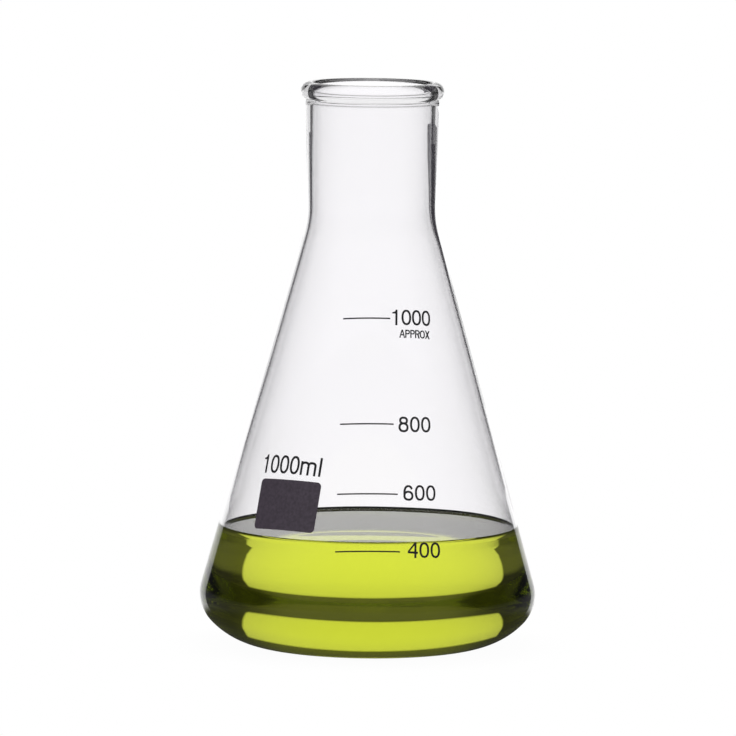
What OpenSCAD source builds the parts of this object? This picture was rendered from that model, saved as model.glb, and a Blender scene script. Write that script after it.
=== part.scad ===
// Wide-neck Erlenmeyer flask, 1000 ml, part-filled with a clear yellow-green liquid.
// Millimetres. Origin at the centre of the base, +Z up, printed marks face -Y.
// Profiles are (radius, height) outlines turned about Z. Everything printed is a thin
// fired-on enamel layer that lies on the outside of the cone.

/* [Flask] */
// Height from the table to the top of the rim
flask_h = 220; // [214:0.5:232]
// Widest diameter, just above the heel
body_d = 131; // [128:0.5:136]
// Outer diameter at the foot of the neck
neck_d = 49.8; // [49:0.1:51]
// Outer diameter of the neck under the rim bead
neck_top_d = 52; // [51.4:0.1:52.6]
// Angle between the cone's side and the vertical
cone_angle = 15.75; // [15.4:0.05:16.2]
// Radius of the soft bend between cone and neck
shoulder_r = 39; // [30:1:44]
// Radius of the heel where it meets the cone
heel_r = 15.1; // [13.5:0.1:16.5]
// Radius of the flatter part of the heel, towards the foot
sole_r = 31; // [29:0.5:34]
// Rise of the pushed-up centre of the base
punt_h = 1.8; // [0.8:0.1:3]
// Width of the flat ring that the flask stands on
foot_w = 3; // [2:0.5:5]

/* [Glass] */
// Diameter of the straight bore inside the neck
bore_d = 46.4; // [45.6:0.1:46.8]
// Wall thickness of the cone
wall = 1.5; // [1.2:0.1:1.9]
// Thickness of the base
floor_t = 2.6; // [2.2:0.1:3.4]
// Largest diameter of the rim bead
bead_d = 55.6; // [55:0.1:57]
// Radius of the bead's round outside
bead_r = 3.5; // [3.2:0.1:3.8]
// Rounding of the mouth's inner edge
lip_r = 1.1; // [0.6:0.1:1.1]

/* [Liquid] */
// Height of the flat liquid surface above the table
liquid_level = 46.2; // [42:0.2:60]
// How far the liquid climbs the glass at its edge
meniscus_h = 0.9; // [0.5:0.1:2.5]
// Width of the curved edge of the surface
meniscus_w = 2.2; // [2:0.1:6]

/* [Printed marks] */
// Thickness of the fired enamel
enamel_t = 0.12; // [0.1:0.01:0.3]
// Height of the graduation numerals
numeral_h = 6.1; // [5:0.1:6.6]
// Spacing of the graduation numerals
numeral_pitch = 4.6; // [4.4:0.1:4.9]
// Line weight of the graduation numerals
numeral_t = 0.82; // [0.5:0.02:0.9]
// Height of the capacity lettering
capacity_h = 7.2; // [6:0.1:7.6]
// Thickness of a graduation line
line_t = 0.54; // [0.3:0.02:0.7]
// Width of the write-on patch
patch_w = 28.2; // [22:0.2:29]
// Height of the write-on patch, along the cone
patch_h = 19.7; // [14:0.2:20]
// Corner radius of the write-on patch
patch_r = 1.7; // [1:0.1:3]
// Bearing of the capacity lettering and patch, round the cone from the front
capacity_turn = -35.8; // [-42:0.2:-34]
// Tilt of the capacity lettering and patch
capacity_tilt = 0.8; // [0:0.1:3]

/* [Hidden] */
$fn = 96;

enamel_dark = [0.17, 0.17, 0.19];
enamel_plum = [0.25, 0.22, 0.27];

arc_step = 5;          // turn between neighbouring points of a profile arc
heel_split = 46.7;     // turn from straight down at which the sole's arc becomes the heel's
neck_len = 45;         // from the foot of the neck to the bead, along which the neck opens
neck_lean = atan((neck_top_d - neck_d) / 2 / neck_len);
heel_tighter = 2.1;    // the inside's heel and sole are this much tighter than the outside's
sole_tighter = 5;
dome_steps = 6;        // straight pieces from the middle of the base to the foot ring
curl_steps = 8;        // straight pieces across the curled edge of the liquid

// --- Profile geometry ------------------------------------------------------------------

// Points of an arc, in (radius, height), from one turn to another.
function arc(c, r, from, to) =
    let (n = max(2, ceil(abs(to - from) / arc_step)))
    [for (i = [0:n]) let (a = from + (to - from) * i / n) c + r * [cos(a), sin(a)]];

// Centre of the heel's arc for a wall whose foot is at foot_z, and which touches the
// cone line at distance d from the origin.
function heel_centre(foot_z, rh, rs, d) =
    let (z = foot_z + rs - (rs - rh) * cos(heel_split))
    [(d - rh - z * sin(cone_angle)) / cos(cone_angle), z];

// Base, sole and heel as one run of points, from the centre of the base to the cone: a
// dome that rises in the middle, the flat foot ring, the sole's arc and the heel's arc.
function foot(foot_z, rh, rs, c, rise) =
    let (ring = c[0] - (rs - rh) * sin(heel_split),
         dome_w = ring - foot_w,
         dome_r = (dome_w * dome_w + rise * rise) / (2 * rise))
    concat([for (i = [0:dome_steps]) let (x = dome_w * i / dome_steps)
                [x, foot_z + rise - dome_r + sqrt(dome_r * dome_r - x * x)]],
           arc([ring, foot_z + rs], rs, -90, -90 + heel_split),
           arc(c, rh, -90 + heel_split, cone_angle));

// The outer cone: centre of the heel, and the distance of the cone line from the origin.
heel_z = sole_r - (sole_r - heel_r) * cos(heel_split);
heel_c = [body_d / 2 - heel_r, heel_z];
cone_d = heel_c * [cos(cone_angle), sin(cone_angle)] + heel_r;
inner_d = cone_d - wall;
inner_heel_r = heel_r - heel_tighter;
inner_sole_r = sole_r - sole_tighter;
inner_c = heel_centre(floor_t, inner_heel_r, inner_sole_r, inner_d);

// Radius of a cone line at height z.
function cone_r(z, d = cone_d) = (d - z * sin(cone_angle)) / cos(cone_angle);

// Soft bend from a cone line up into a neck line through (r, z), leaning out by lean.
function corner_z(r, z, lean, d) =
    (d - (r - z * tan(lean)) * cos(cone_angle)) / (sin(cone_angle) + tan(lean) * cos(cone_angle));
function bend(r, z, lean, d, rs) =
    let (zc = corner_z(r, z, lean, d),
         corner = [cone_r(zc, d), zc],
         half = (180 - cone_angle - lean) / 2,
         along = rs / tan(half),
         start = corner + along * [sin(cone_angle), -cos(cone_angle)],
         centre = start + rs * [cos(cone_angle), sin(cone_angle)])
    arc(centre, rs, 180 + cone_angle, 180 - lean);

neck_foot_z = corner_z(neck_d / 2, 0, 0, cone_d);
outer_bend = bend(neck_d / 2, neck_foot_z, neck_lean, cone_d, shoulder_r);

// Rim bead: round outside, small rounding into the bore.
bead_c = [bead_d / 2 - bead_r, flask_h - bead_r];
lip = min(lip_r, bead_c[0] - bore_d / 2);
bead_foot_r = neck_d / 2 + (flask_h - 2 * bead_r - neck_foot_z) * tan(neck_lean);
bead_turn = acos((bead_foot_r - bead_c[0]) / bead_r);
bead = concat(arc(bead_c, bead_r, -bead_turn, 90),
              arc([bore_d / 2 + lip, flask_h - lip], lip, 90, 180));

// Inside of the glass: floor, heel, cone, bend, bore.
inner_foot = foot(floor_t, inner_heel_r, inner_sole_r, inner_c, punt_h);
inner_bend = bend(bore_d / 2, 0, 0, inner_d, shoulder_r);

// --- The glass ---------------------------------------------------------------------------

// One blown piece: foot, heel, cone, neck and rim bead.
module flask_body() {
    color([0.86, 0.9, 0.92, 0.35])
    rotate_extrude()
    polygon(concat(foot(0, heel_r, sole_r, heel_c, punt_h), outer_bend, bead,
                   reverse(inner_bend), reverse(inner_foot)));
}

// --- The liquid --------------------------------------------------------------------------

// Fills the inside up to its surface, which curls up where it meets the glass.
module liquid() {
    edge_z = liquid_level + meniscus_h;
    edge_r = cone_r(edge_z, inner_d);
    curl = [for (i = [0:curl_steps]) let (s = i / curl_steps)
            [edge_r - meniscus_w * s, liquid_level + meniscus_h * pow(1 - s, 3)]];
    color([0.78, 0.82, 0.2, 0.8])
    rotate_extrude()
    polygon(concat(inner_foot, curl, [[0, liquid_level]]));
}

// --- Placing prints on the cone ----------------------------------------------------------

// The thin layer on the outside of the cone that holds a print whose middle is v down the
// slope from the apex and which reaches up and down by reach.
module enamel_layer(v, reach) {
    low = height_of(v) - reach;
    high = height_of(v) + reach;
    out = enamel_t / cos(cone_angle);
    rotate_extrude()
    polygon([[cone_r(low), low], [cone_r(low) + out, low], [cone_r(high) + out, high], [cone_r(high), high]]);
}

cutter_in = 3;         // how far a print's outline is carried into the glass, and out of it
cutter_out = 1;

// Puts a flat shape on the cone. u runs to the right along the unrolled cone, v is the
// distance down the slope from the cone's apex, and bearing turns the whole print.
module on_cone(u, v, bearing = 0, tilt = 0, mid = [0, 0]) {
    p = mid + [(u - mid[0]) * cos(tilt) + (v - mid[1]) * sin(tilt),
               (v - mid[1]) * cos(tilt) - (u - mid[0]) * sin(tilt)];
    slant = norm(p);
    lean = atan2(p[0], p[1]);
    r = slant * sin(cone_angle);
    z = (cone_d - r * cos(cone_angle)) / sin(cone_angle);
    rotate([0, 0, bearing + lean / sin(cone_angle)])
    translate([0, -r, z])
    rotate([90 - cone_angle, 0, 0])
    rotate([0, 0, tilt - lean])
    translate([0, 0, -cutter_in])
    linear_extrude(cutter_in + cutter_out)
    children();
}

// --- Numerals and letters, each centred on its own middle --------------------------------

// Outline of a slightly squared oval.
function oval(w, h, from = 0, to = 360, n = 24) =
    [for (i = [0:(to - from == 360 ? n - 1 : n)])
        let (a = from + (to - from) * i / n, c = cos(a), s = sin(a))
        [w / 2 * sign(c) * pow(abs(c), 0.88), h / 2 * sign(s) * pow(abs(s), 0.88)]];

module ring(w, h, t, n = 24) {
    polygon(concat(oval(w, h, n = n), oval(w - 2 * t, h - 2 * t, n = n)),
            paths = [[for (i = [0:n - 1]) i], [for (i = [0:n - 1]) n + i]]);
}

// Part of a ring, as a curved stroke.
module hook(w, h, t, from, to, n = 12) {
    polygon(concat(oval(w, h, from, to, n), reverse(oval(w - 2 * t, h - 2 * t, from, to, n))));
}

function reverse(list) = [for (i = [len(list) - 1:-1:0]) list[i]];

module zero(w, h, t) { ring(w, h, t); }

module one(w, h, t) {
    right = 0.18 * w;
    left = right - t;
    polygon([[right, -h / 2], [right, h / 2], [left + 0.2 * t, h / 2], [left - 0.25 * t, 0.37 * h],
             [-0.34 * w, 0.32 * h], [-0.34 * w, 0.24 * h], [left, 0.24 * h], [left, -h / 2]]);
}

module four(w, h, t) {
    stem = 0.15 * w;
    bar = -0.22 * h;
    polygon([[stem, -h / 2], [stem + t, -h / 2], [stem + t, bar], [w / 2, bar], [w / 2, bar + t],
             [stem + t, bar + t], [stem + t, h / 2], [stem + 0.1 * t, h / 2], [-w / 2, bar + 1.1 * t],
             [-w / 2, bar], [stem, bar],
             [stem, bar + t], [stem, 0.3 * h], [-0.3 * w, bar + t]],
            paths = [[for (i = [0:10]) i], [11, 12, 13]]);
}

module six(w, h, t) {
    bowl = 0.64 * h;
    translate([0, (bowl - h) / 2]) ring(w, bowl, t);
    hook(w, h, t, 32, 190);
}

module eight(w, h, t) {
    top = 0.5 * h;
    bottom = h - top + t;
    translate([0, (h - top) / 2]) ring(0.88 * w, top, t);
    translate([0, (bottom - h) / 2]) ring(w, bottom, t);
}

module digit(name, w, h, t) {
    if (name == "0") zero(w, h, t);
    if (name == "1") one(w, h, t);
    if (name == "4") four(w, h, t);
    if (name == "6") six(w, h, t);
    if (name == "8") eight(w, h, t);
}

// Lower-case m, standing on the line y = -h / 2 of capitals that are h high.
module small_m(w, h, t) {
    x_h = 0.75 * h;
    arch_w = (w + t) / 2;
    arch_h = 0.6 * x_h;
    spring = -h / 2 + x_h - arch_h / 2;
    for (side = [-1, 1])
        translate([side * (arch_w - t) / 2, spring]) hook(arch_w, arch_h, t, 0, 180);
    for (x = [-w / 2, -t / 2, w / 2 - t])
        translate([x, -h / 2]) square([t, spring + h / 2 + 0.02]);
    translate([-w / 2, -h / 2]) square([t, x_h]);
}

module small_l(h, t) { translate([-t / 2, -h / 2]) square([t, h * 1.02]); }

module letter_a(w, h, t) {
    bar = -0.2 * h;
    foot_w = 1.15 * t;
    polygon([[-w / 2, -h / 2], [-w / 2 + foot_w, -h / 2], [-0.22 * w, bar], [0.22 * w, bar],
             [w / 2 - foot_w, -h / 2], [w / 2, -h / 2], [0.6 * t, h / 2], [-0.6 * t, h / 2],
             [-0.14 * w, bar + t], [0, 0.28 * h], [0.14 * w, bar + t]],
            paths = [[0, 1, 2, 3, 4, 5, 6, 7], [8, 9, 10]]);
}

module letter_p(w, h, t) {
    bowl = 0.56 * h;
    translate([-w / 2, -h / 2]) square([t, h]);
    translate([-w / 2, h / 2 - bowl]) difference() {
        square([w * 0.55, bowl]);
        translate([t, t]) square([w * 0.55, bowl - 2 * t]);
    }
    translate([w * 0.05, (h - bowl) / 2]) hook(w * 0.9, bowl, t, -90, 90);
}

module letter_r(w, h, t) {
    letter_p(w, h, t);
    polygon([[-0.02 * w, -0.05 * h], [0.28 * w, -0.05 * h], [w / 2, -h / 2], [w / 2 - 1.25 * t, -h / 2]]);
}

module letter_x(w, h, t) {
    for (side = [0, 1]) mirror([side, 0])
        polygon([[-w / 2, -h / 2], [-w / 2 + 1.2 * t, -h / 2], [w / 2, h / 2], [w / 2 - 1.2 * t, h / 2]]);
}

// --- The printed marks -------------------------------------------------------------------

// Each graduation: its value's digits, distance from the apex, ends of its line, the middle
// of its first digit, how far that digit stands above the line and how close its row is set.
graduations = [["400", 218.7, -12.55, 12.3, 17.45, 1.05, 1],
               ["600", 196.4, -12.05, 11.2, 15.5, 0.85, 1],
               ["800", 169.2, -11.25, 9.4, 13.35, 0.2, 1],
               ["1000", 128, -10.5, 7.65, 9.85, 0.65, 0.95]];
digit_w = 4.0;
digit_rise = 0.28;     // from one digit to the next, which keeps the row level on the turned side
line_turn = 0.6;       // keeps the lines level on the slightly leaning flask
line_reach = 3;        // half of the height of the layer that each kind of print is cut from
numeral_reach = 8;
approx_reach = 6;
capacity_reach = 9;
patch_reach = 16;

function height_of(v) = (cone_d - v * sin(cone_angle) * cos(cone_angle)) / sin(cone_angle);

module graduation_line(i) {
    g = graduations[i];
    color(enamel_dark)
    intersection() {
        enamel_layer(g[1], line_reach);
        on_cone((g[2] + g[3]) / 2, g[1]) rotate(line_turn) square([g[3] - g[2], line_t], center = true);
    }
}

module numeral(i) {
    g = graduations[i];
    color(enamel_dark)
    intersection() {
        enamel_layer(g[1], numeral_reach);
        union() for (k = [0:len(g[0]) - 1])
            on_cone(g[4] + numeral_pitch * g[6] * k, g[1] - g[5] - digit_rise * k)
            digit(g[0][k], digit_w, numeral_h, numeral_t);
    }
}

// The word under the top graduation: the middle and the width of each letter.
approx_v = 133.6;
approx_rise = 0.12;
approx_h = 3.2;
approx_t = 0.48;
approx_u = [12.55, 14.75, 16.85, 18.95, 21.15, 23.45];
approx_w = [2.4, 1.9, 1.9, 2.0, 2.3, 2.2];

module approx_letter(k) {
    on_cone(approx_u[k], approx_v - approx_rise * k) children();
}

module approx_text() {
    color(enamel_dark)
    intersection() {
        enamel_layer(approx_v, approx_reach);
        union() {
            approx_letter(0) letter_a(approx_w[0], approx_h, approx_t);
            for (k = [1, 2]) approx_letter(k) letter_p(approx_w[k], approx_h, approx_t);
            approx_letter(3) letter_r(approx_w[3], approx_h, approx_t);
            approx_letter(4) ring(approx_w[4], approx_h, approx_t, 20);
            approx_letter(5) letter_x(approx_w[5], approx_h, approx_t);
        }
    }
}

// Capacity print: lettering over a plain patch to write on, both turned to one side.
patch_mid = [0.25, 202.3];
capacity_v = 186.6;
capacity_u = -13;      // middle of the first digit
capacity_pitch = 4.9;
capacity_w = 4.35;
capacity_t = 0.92;
small_m_u = 7.9;
small_m_w = 6.8;
small_l_u = 12.95;

module capacity_place(u, v) {
    on_cone(u, v, capacity_turn, capacity_tilt, patch_mid) children();
}

module capacity_text() {
    number = "1000";
    color(enamel_dark)
    intersection() {
        enamel_layer(capacity_v, capacity_reach);
        union() {
            for (k = [0:len(number) - 1])
                capacity_place(capacity_u + capacity_pitch * k, capacity_v)
                digit(number[k], capacity_w, capacity_h, capacity_t);
            capacity_place(small_m_u, capacity_v) small_m(small_m_w, capacity_h, capacity_t);
            capacity_place(small_l_u, capacity_v) small_l(capacity_h, capacity_t);
        }
    }
}

module write_on_patch() {
    color(enamel_plum)
    intersection() {
        enamel_layer(patch_mid[1], patch_reach);
        capacity_place(patch_mid[0], patch_mid[1]) {
            square([patch_w - 2 * patch_r, patch_h], center = true);
            square([patch_w, patch_h - 2 * patch_r], center = true);
            for (x = [-1, 1], y = [-1, 1])
                translate([x * (patch_w / 2 - patch_r), y * (patch_h / 2 - patch_r)]) circle(patch_r);
        }
    }
}

flask_body();
liquid();
write_on_patch();
capacity_text();
approx_text();
graduation_line(0);  // graduation_line_400
graduation_line(1);  // graduation_line_600
graduation_line(2);  // graduation_line_800
graduation_line(3);  // graduation_line_1000
numeral(0);  // numeral_400
numeral(1);  // numeral_600
numeral(2);  // numeral_800
numeral(3);  // numeral_1000
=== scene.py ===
"""Looks of the part-filled conical flask: its glass, liquid and enamel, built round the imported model.

Metres, +Z up, the base on z = 0 and the printed marks towards -Y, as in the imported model. Profiles are
written in millimetres, as (radius, height), and turned into metres when they are spun.
"""

import math

import bpy
import numpy as np
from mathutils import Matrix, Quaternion, Vector


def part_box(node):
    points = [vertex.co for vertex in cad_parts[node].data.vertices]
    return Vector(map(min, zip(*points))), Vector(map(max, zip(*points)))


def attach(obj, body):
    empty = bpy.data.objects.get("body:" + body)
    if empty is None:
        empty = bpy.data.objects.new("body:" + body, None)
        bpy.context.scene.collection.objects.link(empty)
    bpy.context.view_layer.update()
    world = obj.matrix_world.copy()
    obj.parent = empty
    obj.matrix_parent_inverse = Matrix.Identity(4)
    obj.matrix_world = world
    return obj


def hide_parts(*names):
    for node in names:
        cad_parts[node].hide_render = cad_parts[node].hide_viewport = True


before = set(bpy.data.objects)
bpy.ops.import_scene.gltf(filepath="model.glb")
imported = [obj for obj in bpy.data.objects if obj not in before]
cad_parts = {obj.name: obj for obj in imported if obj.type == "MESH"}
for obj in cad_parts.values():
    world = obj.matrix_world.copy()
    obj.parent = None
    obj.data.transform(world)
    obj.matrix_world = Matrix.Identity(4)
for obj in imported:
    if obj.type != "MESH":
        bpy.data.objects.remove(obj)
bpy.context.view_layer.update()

MM = 0.001

# --- Sizes of the flask, in millimetres and degrees ----------------------------------------------

CONE_ANGLE = math.radians(15.75)         # from upright
SIN, COS = math.sin(CONE_ANGLE), math.cos(CONE_ANGLE)
BODY_R = 65.5            # widest radius
NECK_R = 24.9            # outside, at the foot of the neck
NECK_TOP_R = 26.0        # outside, under the bead
NECK_LEN = 45.0          # length over which the neck opens
BORE_R = 23.2            # inside of the neck
WALL = 1.5               # wall of the cone
FLOOR_T = 2.6            # thickness of the base
PUNT = 1.8               # rise of the middle of the base
FOOT_W = 3.0             # width of the ring that it stands on
HEEL_R, SOLE_R = 15.1, 31.0              # the two curves from the foot ring up to the cone
INNER_HEEL_R, INNER_SOLE_R = 13.0, 26.0
HEEL_SPLIT = math.radians(46.7)          # where the sole's curve gives way to the heel's
SHOULDER_R = 39.0        # curve from the cone into the neck
BEAD_R, BEAD_TOP_R = 3.5, 27.8           # the bead's own curve, and its widest radius
LIP_R = 1.1              # rounding of the mouth's inner edge
FLASK_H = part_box("flask_body")[1].z / MM

LIQUID_LEVEL = 46.2      # flat part of the surface
MENISCUS_H, MENISCUS_W = 0.9, 2.2
OVERLAP = 0.12           # how far the liquid's own skin lies inside the glass
PRINT_BED = 0.025        # the glass stands this far into the back of the prints, which are fused to it
PRINTED_FROM, PRINTED_TO = 20, 165       # heights between which it does so

SEGMENTS = 240           # round the flask
ARC_STEP = math.radians(2.5)
FEWEST_ARC_STEPS = 3
LINE_STEP = 2.5          # longest piece of a straight run
DOME_STEPS = 16          # across half of the base
CURL_STEPS = 20          # across the meniscus
FLAT_STEPS = 24          # from the meniscus to the axis
CURL_GAP = 1.2           # the inside's own points stop this far under the liquid's edge


# --- Profiles ------------------------------------------------------------------------------------

def arc(centre, radius, start, end):
    """Points of an arc from one angle to another, both in radians from the radius axis."""
    n = max(FEWEST_ARC_STEPS, math.ceil(abs(end - start) / ARC_STEP))
    turns = [start + (end - start) * i / n for i in range(n + 1)]
    return [(centre[0] + radius * math.cos(a), centre[1] + radius * math.sin(a)) for a in turns]


def line(start, end):
    """Points between two ends, without the ends themselves."""
    n = max(1, math.ceil(math.dist(start, end) / LINE_STEP))
    return [tuple(np.array(start) + (np.array(end) - np.array(start)) * i / n) for i in range(1, n)]


def joined(*runs):
    """Runs of points in a row, with each gap between two runs filled by a divided straight line."""
    out = list(runs[0])
    for run in runs[1:]:
        out += line(out[-1], run[0]) + list(run)
    return out


def cone_r(z, d):
    """Radius at height z of the cone line whose distance from the origin is d."""
    return (d - z * SIN) / COS


def heel_centre(foot_z, heel_r, sole_r, d):
    """Centre of the heel's arc, which runs into the cone line at d."""
    z = foot_z + sole_r - (sole_r - heel_r) * math.cos(HEEL_SPLIT)
    return (d - heel_r - z * SIN) / COS, z


def foot(foot_z, heel_r, sole_r, centre):
    """Base, sole and heel, from the axis out to the cone."""
    ring = centre[0] - (sole_r - heel_r) * math.sin(HEEL_SPLIT)
    dome_w = ring - FOOT_W
    dome_r = (dome_w ** 2 + PUNT ** 2) / (2 * PUNT)
    xs = [dome_w * i / DOME_STEPS for i in range(DOME_STEPS + 1)]
    dome = [(x, foot_z + PUNT - dome_r + math.sqrt(dome_r ** 2 - x ** 2)) for x in xs]
    down = -math.pi / 2
    sole = arc((ring, foot_z + sole_r), sole_r, down, down + HEEL_SPLIT)
    heel = arc(centre, heel_r, down + HEEL_SPLIT, CONE_ANGLE)
    return joined(dome, sole[:-1] + heel)


def bend(r, lean, d):
    """The soft shoulder from the cone line at d into a neck line of radius r at z = 0."""
    z = (d - r * COS) / (SIN + math.tan(lean) * COS)
    half = (math.pi - CONE_ANGLE - lean) / 2
    along = SHOULDER_R / math.tan(half)
    start = (cone_r(z, d) + along * SIN, z - along * COS)
    centre = (start[0] + SHOULDER_R * COS, start[1] + SHOULDER_R * SIN)
    return arc(centre, SHOULDER_R, math.pi + CONE_ANGLE, math.pi - lean)


outer_heel = (BODY_R - HEEL_R, SOLE_R - (SOLE_R - HEEL_R) * math.cos(HEEL_SPLIT))
OUTER_D = outer_heel[0] * COS + outer_heel[1] * SIN + HEEL_R
INNER_D = OUTER_D - WALL
inner_heel = heel_centre(FLOOR_T, INNER_HEEL_R, INNER_SOLE_R, INNER_D)

neck_lean = math.atan((NECK_TOP_R - NECK_R) / NECK_LEN)
neck_foot = (OUTER_D - NECK_R * COS) / SIN
bead_centre = (BEAD_TOP_R - BEAD_R, FLASK_H - BEAD_R)
bead_foot_r = NECK_R + (FLASK_H - 2 * BEAD_R - neck_foot) * math.tan(neck_lean)
bead_turn = math.acos((bead_foot_r - bead_centre[0]) / BEAD_R)
bead = (arc(bead_centre, BEAD_R, -bead_turn, math.pi / 2)
        + arc((BORE_R + LIP_R, FLASK_H - LIP_R), LIP_R, math.pi / 2, math.pi))

neck_line = NECK_R - neck_foot * math.tan(neck_lean)      # the neck's outer line, carried down to z = 0
outside = joined(foot(0, HEEL_R, SOLE_R, outer_heel), bend(neck_line, neck_lean, OUTER_D), bead)
inside = joined(foot(FLOOR_T, INNER_HEEL_R, INNER_SOLE_R, inner_heel), bend(BORE_R, 0, INNER_D))


# --- Blown glass is never quite even -------------------------------------------------------------

SHIFT_HEIGHTS = [0, 25, 60, 150, 172, 190, 220]
SHIFTS = [0, 0.1, 0.3, 0.3, -0.1, -0.22, -0.2]
RIPPLES = (              # depth, waves round the axis, turn for each millimetre up, and start
    (0.030, 2, 0.031, 0.4),
    (0.024, 3, -0.047, 2.1),
    (0.016, 5, 0.090, 4.0),
)
RING_DEPTH, RING_RATE, RING_SWAY = 0.012, 0.21, 1.3      # rings that rise and fall round the axis


def wall_shift(z):
    """How far the inside lies off the axis towards +X, by height: the wall is thicker on one side."""
    return np.interp(z, SHIFT_HEIGHTS, SHIFTS)


def ripple(turn, z):
    """Slow unevenness of the inner surface, in millimetres, by the turn round the axis and height."""
    waves = sum(depth * np.sin(count * turn + rate * z + start) for depth, count, rate, start in RIPPLES)
    return waves + RING_DEPTH * np.sin(RING_RATE * z + RING_SWAY * np.sin(turn))


def spin(name, profile, kinds, uneven, slots):
    """Turns a profile that starts and ends on the axis into one closed, smooth mesh.

    kinds gives a material index for each step along the profile, and uneven says, for each of its
    points, how much of the inside's unevenness it takes.
    """
    rs, zs = (np.array([p[i] for p in profile]) for i in (0, 1))
    turn = np.arange(SEGMENTS) * 2 * math.pi / SEGMENTS
    t, r = np.meshgrid(turn, rs[1:-1])
    z = np.repeat(zs[1:-1, None], SEGMENTS, 1)
    share = np.asarray(uneven)[1:-1, None]
    r = r + share * ripple(t, z)
    x = r * np.cos(t) + share * wall_shift(z)
    y = r * np.sin(t)
    rows = len(rs) - 2
    verts = np.stack([x, y, z], -1).reshape(-1, 3)
    verts = np.vstack([verts, [[0, 0, zs[0]], [0, 0, zs[-1]]]]) * MM
    first, last = rows * SEGMENTS, rows * SEGMENTS + 1
    faces, indices = [], []
    for k in range(SEGMENTS):
        n = (k + 1) % SEGMENTS
        faces.append((first, n, k))
        indices.append(kinds[0])
        for row in range(rows - 1):
            a, b = row * SEGMENTS, (row + 1) * SEGMENTS
            faces.append((a + k, a + n, b + n, b + k))
            indices.append(kinds[row + 1])
        end = (rows - 1) * SEGMENTS
        faces.append((last, end + k, end + n))
        indices.append(kinds[-1])
    mesh = bpy.data.meshes.new(name)
    mesh.from_pydata(verts.tolist(), [], faces)
    for material in slots:
        mesh.materials.append(material)
    mesh.polygons.foreach_set("material_index", indices)
    mesh.polygons.foreach_set("use_smooth", [True] * len(faces))
    mesh.update()
    piece = bpy.data.objects.new(name, mesh)
    bpy.context.scene.collection.objects.link(piece)
    return piece


# --- Materials -----------------------------------------------------------------------------------

GLASS_IOR, LIQUID_IOR, ENAMEL_IOR = 1.474, 1.333, 1.5
GLASS_TINT = (0.985, 0.979, 0.991, 1)
LIQUID_COLOUR = (0.868, 0.907, 0.0, 1)     # it absorbs LIQUID_DENSITY * (1 - colour) per metre
LIQUID_DENSITY = 24.5
ENAMEL_ROUGHNESS = 0.42
MOTTLE_LOW, MOTTLE_HIGH = 0.3, 0.7         # noise levels at which a blotch is darkest and lightest


def new_material(name):
    """An empty material, with its node tree and output node."""
    material = bpy.data.materials.new(name)
    material.use_nodes = True
    tree = material.node_tree
    tree.nodes.clear()
    out = tree.nodes.new("ShaderNodeOutputMaterial")
    return material, tree, out


def add(tree, kind, **values):
    """A new node; values name its properties, or its inputs by their labels with _ for a space."""
    node = tree.nodes.new("ShaderNode" + kind)
    for key, value in values.items():
        label = key.replace("_", " ")
        if label in node.inputs:
            node.inputs[label].default_value = value
        else:
            setattr(node, key, value)
    return node


def surface_noise(tree, scale, detail, stretch=(1, 1, 1)):
    """Noise in the piece's own coordinates."""
    where = add(tree, "TexCoord")
    place = add(tree, "Mapping")
    place.inputs["Scale"].default_value = stretch
    noise = add(tree, "TexNoise", Scale=scale, Detail=detail)
    tree.links.new(where.outputs["Object"], place.inputs["Vector"])
    tree.links.new(place.outputs["Vector"], noise.inputs["Vector"])
    return noise


def add_bump(tree, shader, noise, strength, distance):
    """Gives a shader's surface a slight relief that follows the noise."""
    bump = add(tree, "Bump", Strength=strength, Distance=distance)
    tree.links.new(noise.outputs["Fac"], bump.inputs["Height"])
    tree.links.new(bump.outputs["Normal"], shader.inputs["Normal"])


def clear_shader(tree, out, ior, colour, reflect):
    """A fully clear shader. reflect scales what it mirrors when seen face on."""
    shader = add(tree, "BsdfPrincipled", IOR=ior, Roughness=0.0, Transmission_Weight=1.0)
    shader.inputs["Base Color"].default_value = colour
    shader.inputs["Specular Tint"].default_value = (reflect, reflect, reflect, 1)
    tree.links.new(shader.outputs["BSDF"], out.inputs["Surface"])
    return shader


def glass(name, reflect):
    """Clear borosilicate glass with long shallow waves."""
    material, tree, out = new_material(name)
    shader = clear_shader(tree, out, GLASS_IOR, GLASS_TINT, reflect)
    waves = surface_noise(tree, scale=38, detail=2, stretch=(1, 1, 0.45))
    add_bump(tree, shader, waves, strength=0.05, distance=0.0006)
    return material


def liquid_material():
    """Clear yellow-green liquid with a nearly calm surface."""
    material, tree, out = new_material("green_liquid_look")
    shader = clear_shader(tree, out, LIQUID_IOR, (1, 1, 1, 1), 0.0)
    add_bump(tree, shader, surface_noise(tree, scale=30, detail=1), strength=0.03, distance=0.0004)
    absorb = add(tree, "VolumeAbsorption", Color=LIQUID_COLOUR, Density=LIQUID_DENSITY)
    tree.links.new(absorb.outputs["Volume"], out.inputs["Volume"])
    return material


def enamel(name, colour, mottle):
    """Fired enamel: nearly matt, slightly mottled, with a pebbled skin."""
    material, tree, out = new_material(name)
    shader = add(tree, "BsdfPrincipled", IOR=ENAMEL_IOR, Roughness=ENAMEL_ROUGHNESS)
    blotches = surface_noise(tree, scale=900, detail=6)
    tones = add(tree, "ValToRGB")
    steps = zip(tones.color_ramp.elements, (MOTTLE_LOW, MOTTLE_HIGH), (1 - mottle, 1 + mottle))
    for element, position, share in steps:
        element.position = position
        element.color = (*[c * share for c in colour], 1)
    tree.links.new(blotches.outputs["Fac"], tones.inputs["Fac"])
    tree.links.new(tones.outputs["Color"], shader.inputs["Base Color"])
    add_bump(tree, shader, surface_noise(tree, scale=2600, detail=3), strength=0.25, distance=0.00003)
    tree.links.new(shader.outputs["BSDF"], out.inputs["Surface"])
    return material


# --- The pieces ----------------------------------------------------------------------------------

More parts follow.
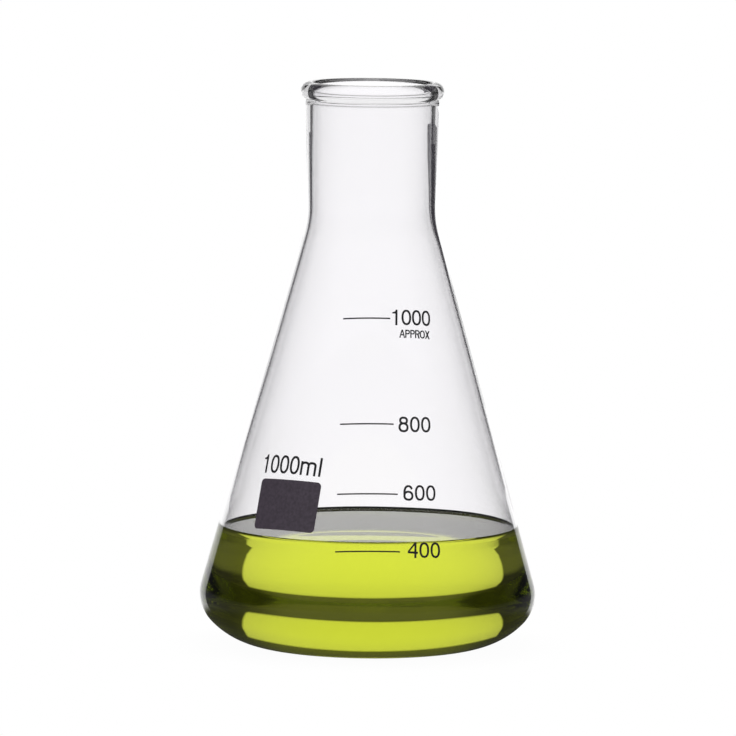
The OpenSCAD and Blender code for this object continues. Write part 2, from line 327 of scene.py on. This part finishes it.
DRY, WET = 0, 1          # material slots of the glass: against air, and against the liquid
SURFACE_EDGE = LIQUID_LEVEL + MENISCUS_H


def build_glass():
    """The whole glass as one skin: up the outside, over the bead, down the bore and inside."""
    bed = [(r + (PRINT_BED if PRINTED_FROM < z < PRINTED_TO else 0), z) for r, z in outside]
    down = inside[::-1]
    profile = joined(bed, down)
    bore_from, inner_from = len(bed), len(profile) - len(down)
    kinds, uneven = [], []
    for i, (_, z) in enumerate(profile):
        on_inside = i >= inner_from
        uneven.append(1.0 if on_inside else 0.0)
        if i + 1 < len(profile):
            under_liquid = on_inside and (z + profile[i + 1][1]) / 2 < SURFACE_EDGE
            kinds.append(WET if under_liquid else DRY)
    for i in range(bore_from, inner_from):      # the bore, from the lip down to the shoulder
        uneven[i] = (i - bore_from + 1) / (inner_from - bore_from + 1)
    slots = [glass("glass_dry", 1.0), glass("glass_wet", 0.0)]
    return spin("flask_glass", profile, kinds, uneven, slots)


def build_liquid():
    """The liquid: the inside's shape a hair larger, so that no air gap is left, and a curled top."""
    edge_r = cone_r(SURFACE_EDGE, INNER_D)
    run = [p for p in inside if p[1] < SURFACE_EDGE - CURL_GAP] + [(edge_r, SURFACE_EDGE)]
    wet = []
    for i, p in enumerate(run):
        a, b = run[max(i - 1, 0)], run[min(i + 1, len(run) - 1)]
        along = np.array(b) - np.array(a)
        out = np.array([along[1], -along[0]]) / np.linalg.norm(along)
        wet.append(tuple(np.array(p) + out * OVERLAP) if p[0] > 0 else (0.0, p[1] - OVERLAP))
    shares = [i / CURL_STEPS for i in range(CURL_STEPS + 1)]
    curl = [(edge_r - MENISCUS_W * s, LIQUID_LEVEL + MENISCUS_H * (1 - s) ** 3) for s in shares]
    flat_r = edge_r - MENISCUS_W
    flat = [(flat_r * (1 - i / FLAT_STEPS), LIQUID_LEVEL) for i in range(1, FLAT_STEPS + 1)]
    profile = wet + curl + flat
    half = CURL_STEPS // 2                      # the unevenness fades out over the curl's inner half
    fading = list(np.linspace(1, 0, CURL_STEPS - half + 1))
    uneven = [1.0] * (len(wet) + half) + fading + [0.0] * len(flat)
    return spin("flask_liquid", profile, [0] * (len(profile) - 1), uneven, [liquid_material()])


flask = build_glass()
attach(flask, "root")
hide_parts("flask_body")

liquid = build_liquid()
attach(liquid, "root")
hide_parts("liquid")

plum = enamel("enamel_plum_look", colour=(0.053, 0.040, 0.057), mottle=0.22)
dark = enamel("enamel_dark_look", colour=(0.014, 0.014, 0.017), mottle=0.15)
for node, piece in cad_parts.items():
    if node in ("flask_body", "liquid"):
        continue
    look = plum if node == "write_on_patch" else dark
    for slot in piece.material_slots:
        slot.material = look

# --- Camera --------------------------------------------------------------------------------------

CAMERA_BACK = 2.9        # from the flask's axis, in metres
CAMERA_HEIGHT = 0.405
AIM = Vector((-0.0007, 0, 0.1084))
LENS = 366               # on a 36 mm sensor
ROLL = math.radians(0.6)

eye = Vector((0, -CAMERA_BACK, CAMERA_HEIGHT))
data = bpy.data.cameras.new("camera")
data.lens = LENS
data.clip_start, data.clip_end = 0.1, 50
camera = bpy.data.objects.new("camera", data)
camera.location = eye
camera.rotation_mode = "QUATERNION"
camera.rotation_quaternion = (AIM - eye).to_track_quat("-Z", "Y") @ Quaternion((0, 0, 1), ROLL)
bpy.context.scene.collection.objects.link(camera)
bpy.context.scene.camera = camera

# --- Stage: a pale floor, and lights seen only in mirrorings and through the glass ---------------

RIG_HEIGHT = 0.05        # the lights turn about this point of the flask's axis; their angles are from it
rig = bpy.data.objects.new("light_rig", None)
rig.location = (0, 0, RIG_HEIGHT)
bpy.context.scene.collection.objects.link(rig)
follow = rig.constraints.new("LOCKED_TRACK")     # keeps the lights behind the flask for any camera
follow.target = camera
follow.track_axis, follow.lock_axis = "TRACK_NEGATIVE_Y", "LOCK_Z"


def calc(tree, operation, *terms):
    """A math node on numbers or other nodes' outputs."""
    node = add(tree, "Math", operation=operation)
    for socket, term in zip(node.inputs, terms):
        if isinstance(term, (int, float)):
            socket.default_value = term
        else:
            tree.links.new(term, socket)
    return node.outputs[0]


def ramp(tree, value, start, end, low=0.0, high=1.0):
    """A smooth step of a value from one level to another."""
    node = add(tree, "MapRange", interpolation_type="SMOOTHSTEP")
    for label, number in (("From Min", start), ("From Max", end), ("To Min", low), ("To Max", high)):
        node.inputs[label].default_value = number
    tree.links.new(value, node.inputs["Value"])
    return node.outputs[0]


def flat_distance(tree, x, y):
    """How far a place lies from the vertical axis."""
    squares = calc(tree, "MULTIPLY", x, x), calc(tree, "MULTIPLY", y, y)
    return calc(tree, "SQRT", calc(tree, "ADD", *squares))


def emitter(name, strength, colour=(1, 1, 1)):
    """An emission material. strength is a number, or a function of the tree and the x, y, z sockets."""
    material, tree, out = new_material(name)
    glow = add(tree, "Emission", Color=(*colour, 1))
    if callable(strength):
        where = add(tree, "TexCoord")
        split = add(tree, "SeparateXYZ")
        tree.links.new(where.outputs["Object"], split.inputs["Vector"])
        tree.links.new(strength(tree, *split.outputs), glow.inputs["Strength"])
    else:
        glow.inputs["Strength"].default_value = strength
    tree.links.new(glow.outputs[0], out.inputs["Surface"])
    return material


def stage_mesh(name, verts, faces, material, seen_by):
    """A stage piece that only the named kinds of ray see."""
    mesh = bpy.data.meshes.new(name)
    mesh.from_pydata(verts, [], faces)
    mesh.materials.append(material)
    piece = bpy.data.objects.new(name, mesh)
    bpy.context.scene.collection.objects.link(piece)
    for ray in ("camera", "diffuse", "glossy", "transmission", "shadow"):
        setattr(piece, "visible_" + ray, ray in seen_by)
    return piece


def square(half):
    """Corners and face of a level square round the axis."""
    return [(-half, -half, 0), (half, -half, 0), (half, half, 0), (-half, half, 0)], [(0, 1, 2, 3)]


GLASS_ONLY = ("glossy", "transmission")     # rays that have met the flask, and not the camera's own

TENT_R = 7.0                                # far off, so its light goes very nearly by direction alone
TENT_COLUMNS, TENT_ROWS = 48, 24
# The lit backdrop. Directions are in degrees: sideways from straight behind, and up from level.
LEFT_LIMIT, RIGHT_LIMIT, SIDE_FADE = -32.5, 27.5, 1.5    # its sides, and the width of their soft edge
WIDEN_BELOW, WIDEN_RATE = -19, 1.2          # its foot sweeps out over the table
TOP_LIMIT, TOP_FADE = 12.5, 3
BACKDROP, BACKDROP_HIGH = 1.13, 0.96        # its brightness low down and at the top
BACKDROP_FROM, BACKDROP_TO = -12, 14        # heights between which it goes from one to the other
HALF_WIDTH, LEAST_SHARE = 60, 0.4           # it falls off towards nothing at 60, but not under the share
# The studio round it.
SURROUND_LOW, SURROUND_HIGH = 0.125, 0.03   # below and above level
SURROUND_FROM, SURROUND_TO = -4, 2          # heights between which it goes from one to the other
GLOW_ABOVE = 0.10                           # spill on the wall over the backdrop
GLOW_SIDES, GLOW_HEIGHTS = (34, 12), (85, 45)        # where it is gone, and where it is full
FRONT_LIGHT = 0.14                          # the room on the camera's side
FRONT_FROM, FRONT_TO = 95, 130


def tent_strength(tree, x, y, z):
    """The backdrop's brightness, or the studio's where that is higher, by direction."""
    azimuth = calc(tree, "DEGREES", calc(tree, "ARCTAN2", x, y))
    height = calc(tree, "DEGREES", calc(tree, "ARCTAN2", z, flat_distance(tree, x, y)))
    below = calc(tree, "MAXIMUM", calc(tree, "SUBTRACT", WIDEN_BELOW, height), 0)
    widen = calc(tree, "MULTIPLY", below, WIDEN_RATE)
    from_left = calc(tree, "SUBTRACT", calc(tree, "ADD", azimuth, widen), LEFT_LIMIT)
    from_right = calc(tree, "SUBTRACT", calc(tree, "ADD", widen, RIGHT_LIMIT), azimuth)
    lit = ramp(tree, height, TOP_LIMIT + TOP_FADE / 2, TOP_LIMIT - TOP_FADE / 2)
    for side in (from_left, from_right):
        lit = calc(tree, "MULTIPLY", lit, ramp(tree, side, -SIDE_FADE / 2, SIDE_FADE / 2))
    off = calc(tree, "DIVIDE", azimuth, HALF_WIDTH)
    share = calc(tree, "SUBTRACT", 1, calc(tree, "MULTIPLY", off, off))
    level = ramp(tree, height, BACKDROP_FROM, BACKDROP_TO, BACKDROP, BACKDROP_HIGH)
    lit = calc(tree, "MULTIPLY", lit, calc(tree, "MAXIMUM", share, LEAST_SHARE))
    lit = calc(tree, "MULTIPLY", lit, level)

    sideways = calc(tree, "ABSOLUTE", azimuth)
    beside, above = ramp(tree, sideways, *GLOW_SIDES), ramp(tree, height, *GLOW_HEIGHTS)
    over = calc(tree, "MULTIPLY", beside, above)
    surround = ramp(tree, height, SURROUND_TO, SURROUND_FROM, SURROUND_HIGH, SURROUND_LOW)
    surround = calc(tree, "ADD", surround, calc(tree, "MULTIPLY", over, GLOW_ABOVE))
    surround = calc(tree, "ADD", surround, ramp(tree, sideways, FRONT_FROM, FRONT_TO, 0, FRONT_LIGHT))
    return calc(tree, "MAXIMUM", surround, lit)


def build_tent():
    """A sphere round the flask, made of rings between two poles."""
    columns, rows = TENT_COLUMNS, TENT_ROWS
    verts, faces = [], []
    for i in range(1, rows):
        up = math.pi * i / rows
        for a in (2 * math.pi * k / columns for k in range(columns)):
            verts.append((TENT_R * math.sin(up) * math.cos(a), TENT_R * math.sin(up) * math.sin(a),
                          TENT_R * math.cos(up)))
    verts += [(0, 0, TENT_R), (0, 0, -TENT_R)]
    top, bottom = len(verts) - 2, len(verts) - 1
    last = (rows - 2) * columns
    for k in range(columns):
        k1 = (k + 1) % columns
        faces += [(top, k, k1), (bottom, last + k1, last + k)]
        for ring in range(0, last, columns):
            faces.append((ring + k, ring + columns + k, ring + columns + k1, ring + k1))
    stage_mesh("light_tent", verts, faces, emitter("tent_light", tent_strength), GLASS_ONLY).parent = rig


build_tent()

# Dark flags close behind the flask draw the dark lines down the sides of its neck and cone.
FLAG_BACK, FLAG_FAR = 0.15, 0.5             # how far behind the axis, and how far out to the side
FLAG_GREY = 0.045
FLAG_TINT = (0.9, 0.84, 1.0)
FLAG_EDGES = {                              # inner edges, as (x, z) from the foot up
    "flag_right": ((0.115, 0.06), (0.100, 0.08), (0.082, 0.14), (0.062, 0.185), (0.062, 0.197)),
    "flag_left": ((-0.135, 0.06), (-0.118, 0.08), (-0.106, 0.14), (-0.100, 0.19), (-0.100, 0.197)),
}

flag_look = emitter("flag_dark", FLAG_GREY, FLAG_TINT)
for name, edge in FLAG_EDGES.items():
    far = math.copysign(FLAG_FAR, edge[0][0])
    outline = [(far, edge[0][1])] + list(edge) + [(far, edge[-1][1])]
    corners = [(x, FLAG_BACK, z - RIG_HEIGHT) for x, z in outline]
    stage_mesh(name, corners, [tuple(range(len(corners)))], flag_look, GLASS_ONLY).parent = rig

# A bright card behind and above the flask, for the rim.
CARD_BACK, CARD_LOW, CARD_HIGH = 0.35, 0.290, 0.620
CARD_HALF, CARD_FADE = 0.20, 0.06           # half of its width, and how far its sides fade
CARD_LIGHT = 0.95


def card_strength(tree, x, y, z):
    """Even light that fades towards the card's sides."""
    side = ramp(tree, calc(tree, "ABSOLUTE", x), CARD_HALF, CARD_HALF - CARD_FADE)
    return calc(tree, "MULTIPLY", side, CARD_LIGHT)


outline = ((-CARD_HALF, CARD_LOW), (CARD_HALF, CARD_LOW), (CARD_HALF, CARD_HIGH), (-CARD_HALF, CARD_HIGH))
corners = [(x, CARD_BACK, z - RIG_HEIGHT) for x, z in outline]
card_look = emitter("card_light", card_strength)
stage_mesh("card_above", corners, [(0, 1, 2, 3)], card_look, GLASS_ONLY).parent = rig

# Painted shadow of the flask on the table round its foot, and a painted pool of light in its middle, seen
# only by the glass and the liquid.
NEAR_TABLE_R, NEAR_TABLE_FADE = 0.082, 0.115     # where the shade begins to fade, and where it is gone
PAINTED_TABLE_SHADE = 0.04
UNDER_R, UNDER_FADE = 0.018, 0.030       # the middle is lit through the liquid
PAINTED_UNDER_LIGHT = 0.30
NEAR_TABLE_Z, FLOOR_Z = -0.0003, -0.0002     # both lie just under the foot


def near_table():
    """The table right round the flask, as the glass and the liquid see it, with the flask's shade painted
    on it and a painted pool of light in the middle.
    """
    material, tree, out = new_material("shaded_table")
    where = add(tree, "TexCoord")
    length = add(tree, "VectorMath", operation="LENGTH")
    tree.links.new(where.outputs["Object"], length.inputs[0])
    away = length.outputs["Value"]
    glow = add(tree, "Emission")
    shade = ramp(tree, away, UNDER_R, UNDER_FADE, PAINTED_UNDER_LIGHT, PAINTED_TABLE_SHADE)
    tree.links.new(shade, glow.inputs["Strength"])
    clear = add(tree, "BsdfTransparent")
    mix = add(tree, "MixShader")
    tree.links.new(ramp(tree, away, NEAR_TABLE_R, NEAR_TABLE_FADE), mix.inputs[0])
    tree.links.new(glow.outputs[0], mix.inputs[1])
    tree.links.new(clear.outputs[0], mix.inputs[2])
    tree.links.new(mix.outputs[0], out.inputs["Surface"])
    return material


FLOOR_HALF = 9.0
# Painted contact shadow round the flask's foot, drawn into the floor's glow.
SHADE, SHADE_FROM, SHADE_TO = 0.97, 0.036, 0.085     # its grey, and where it begins to fade and is gone


def floor_strength(tree, x, y, z):
    """White, with a faint soft painted shadow where the flask stands."""
    return ramp(tree, flat_distance(tree, x, y), SHADE_FROM, SHADE_TO, SHADE, 1.0)


table = stage_mesh("table_near", *square(NEAR_TABLE_FADE), near_table(), GLASS_ONLY)
table.location.z = NEAR_TABLE_Z
floor = stage_mesh("floor", *square(FLOOR_HALF), emitter("pale_floor", floor_strength), ("camera",))
floor.location.z = FLOOR_Z

world = bpy.data.worlds.new("studio")
world.use_nodes = True
bpy.context.scene.world = world
world.node_tree.nodes["Background"].inputs["Color"].default_value = (1, 1, 1, 1)

scene = bpy.context.scene
scene.view_settings.view_transform = "Standard"
scene.cycles.max_bounces = 32
scene.cycles.transmission_bounces = 32
scene.cycles.glossy_bounces = 16
scene.cycles.transparent_max_bounces = 16
scene.cycles.sample_clamp_indirect = 0
scene.cycles.use_denoising = True
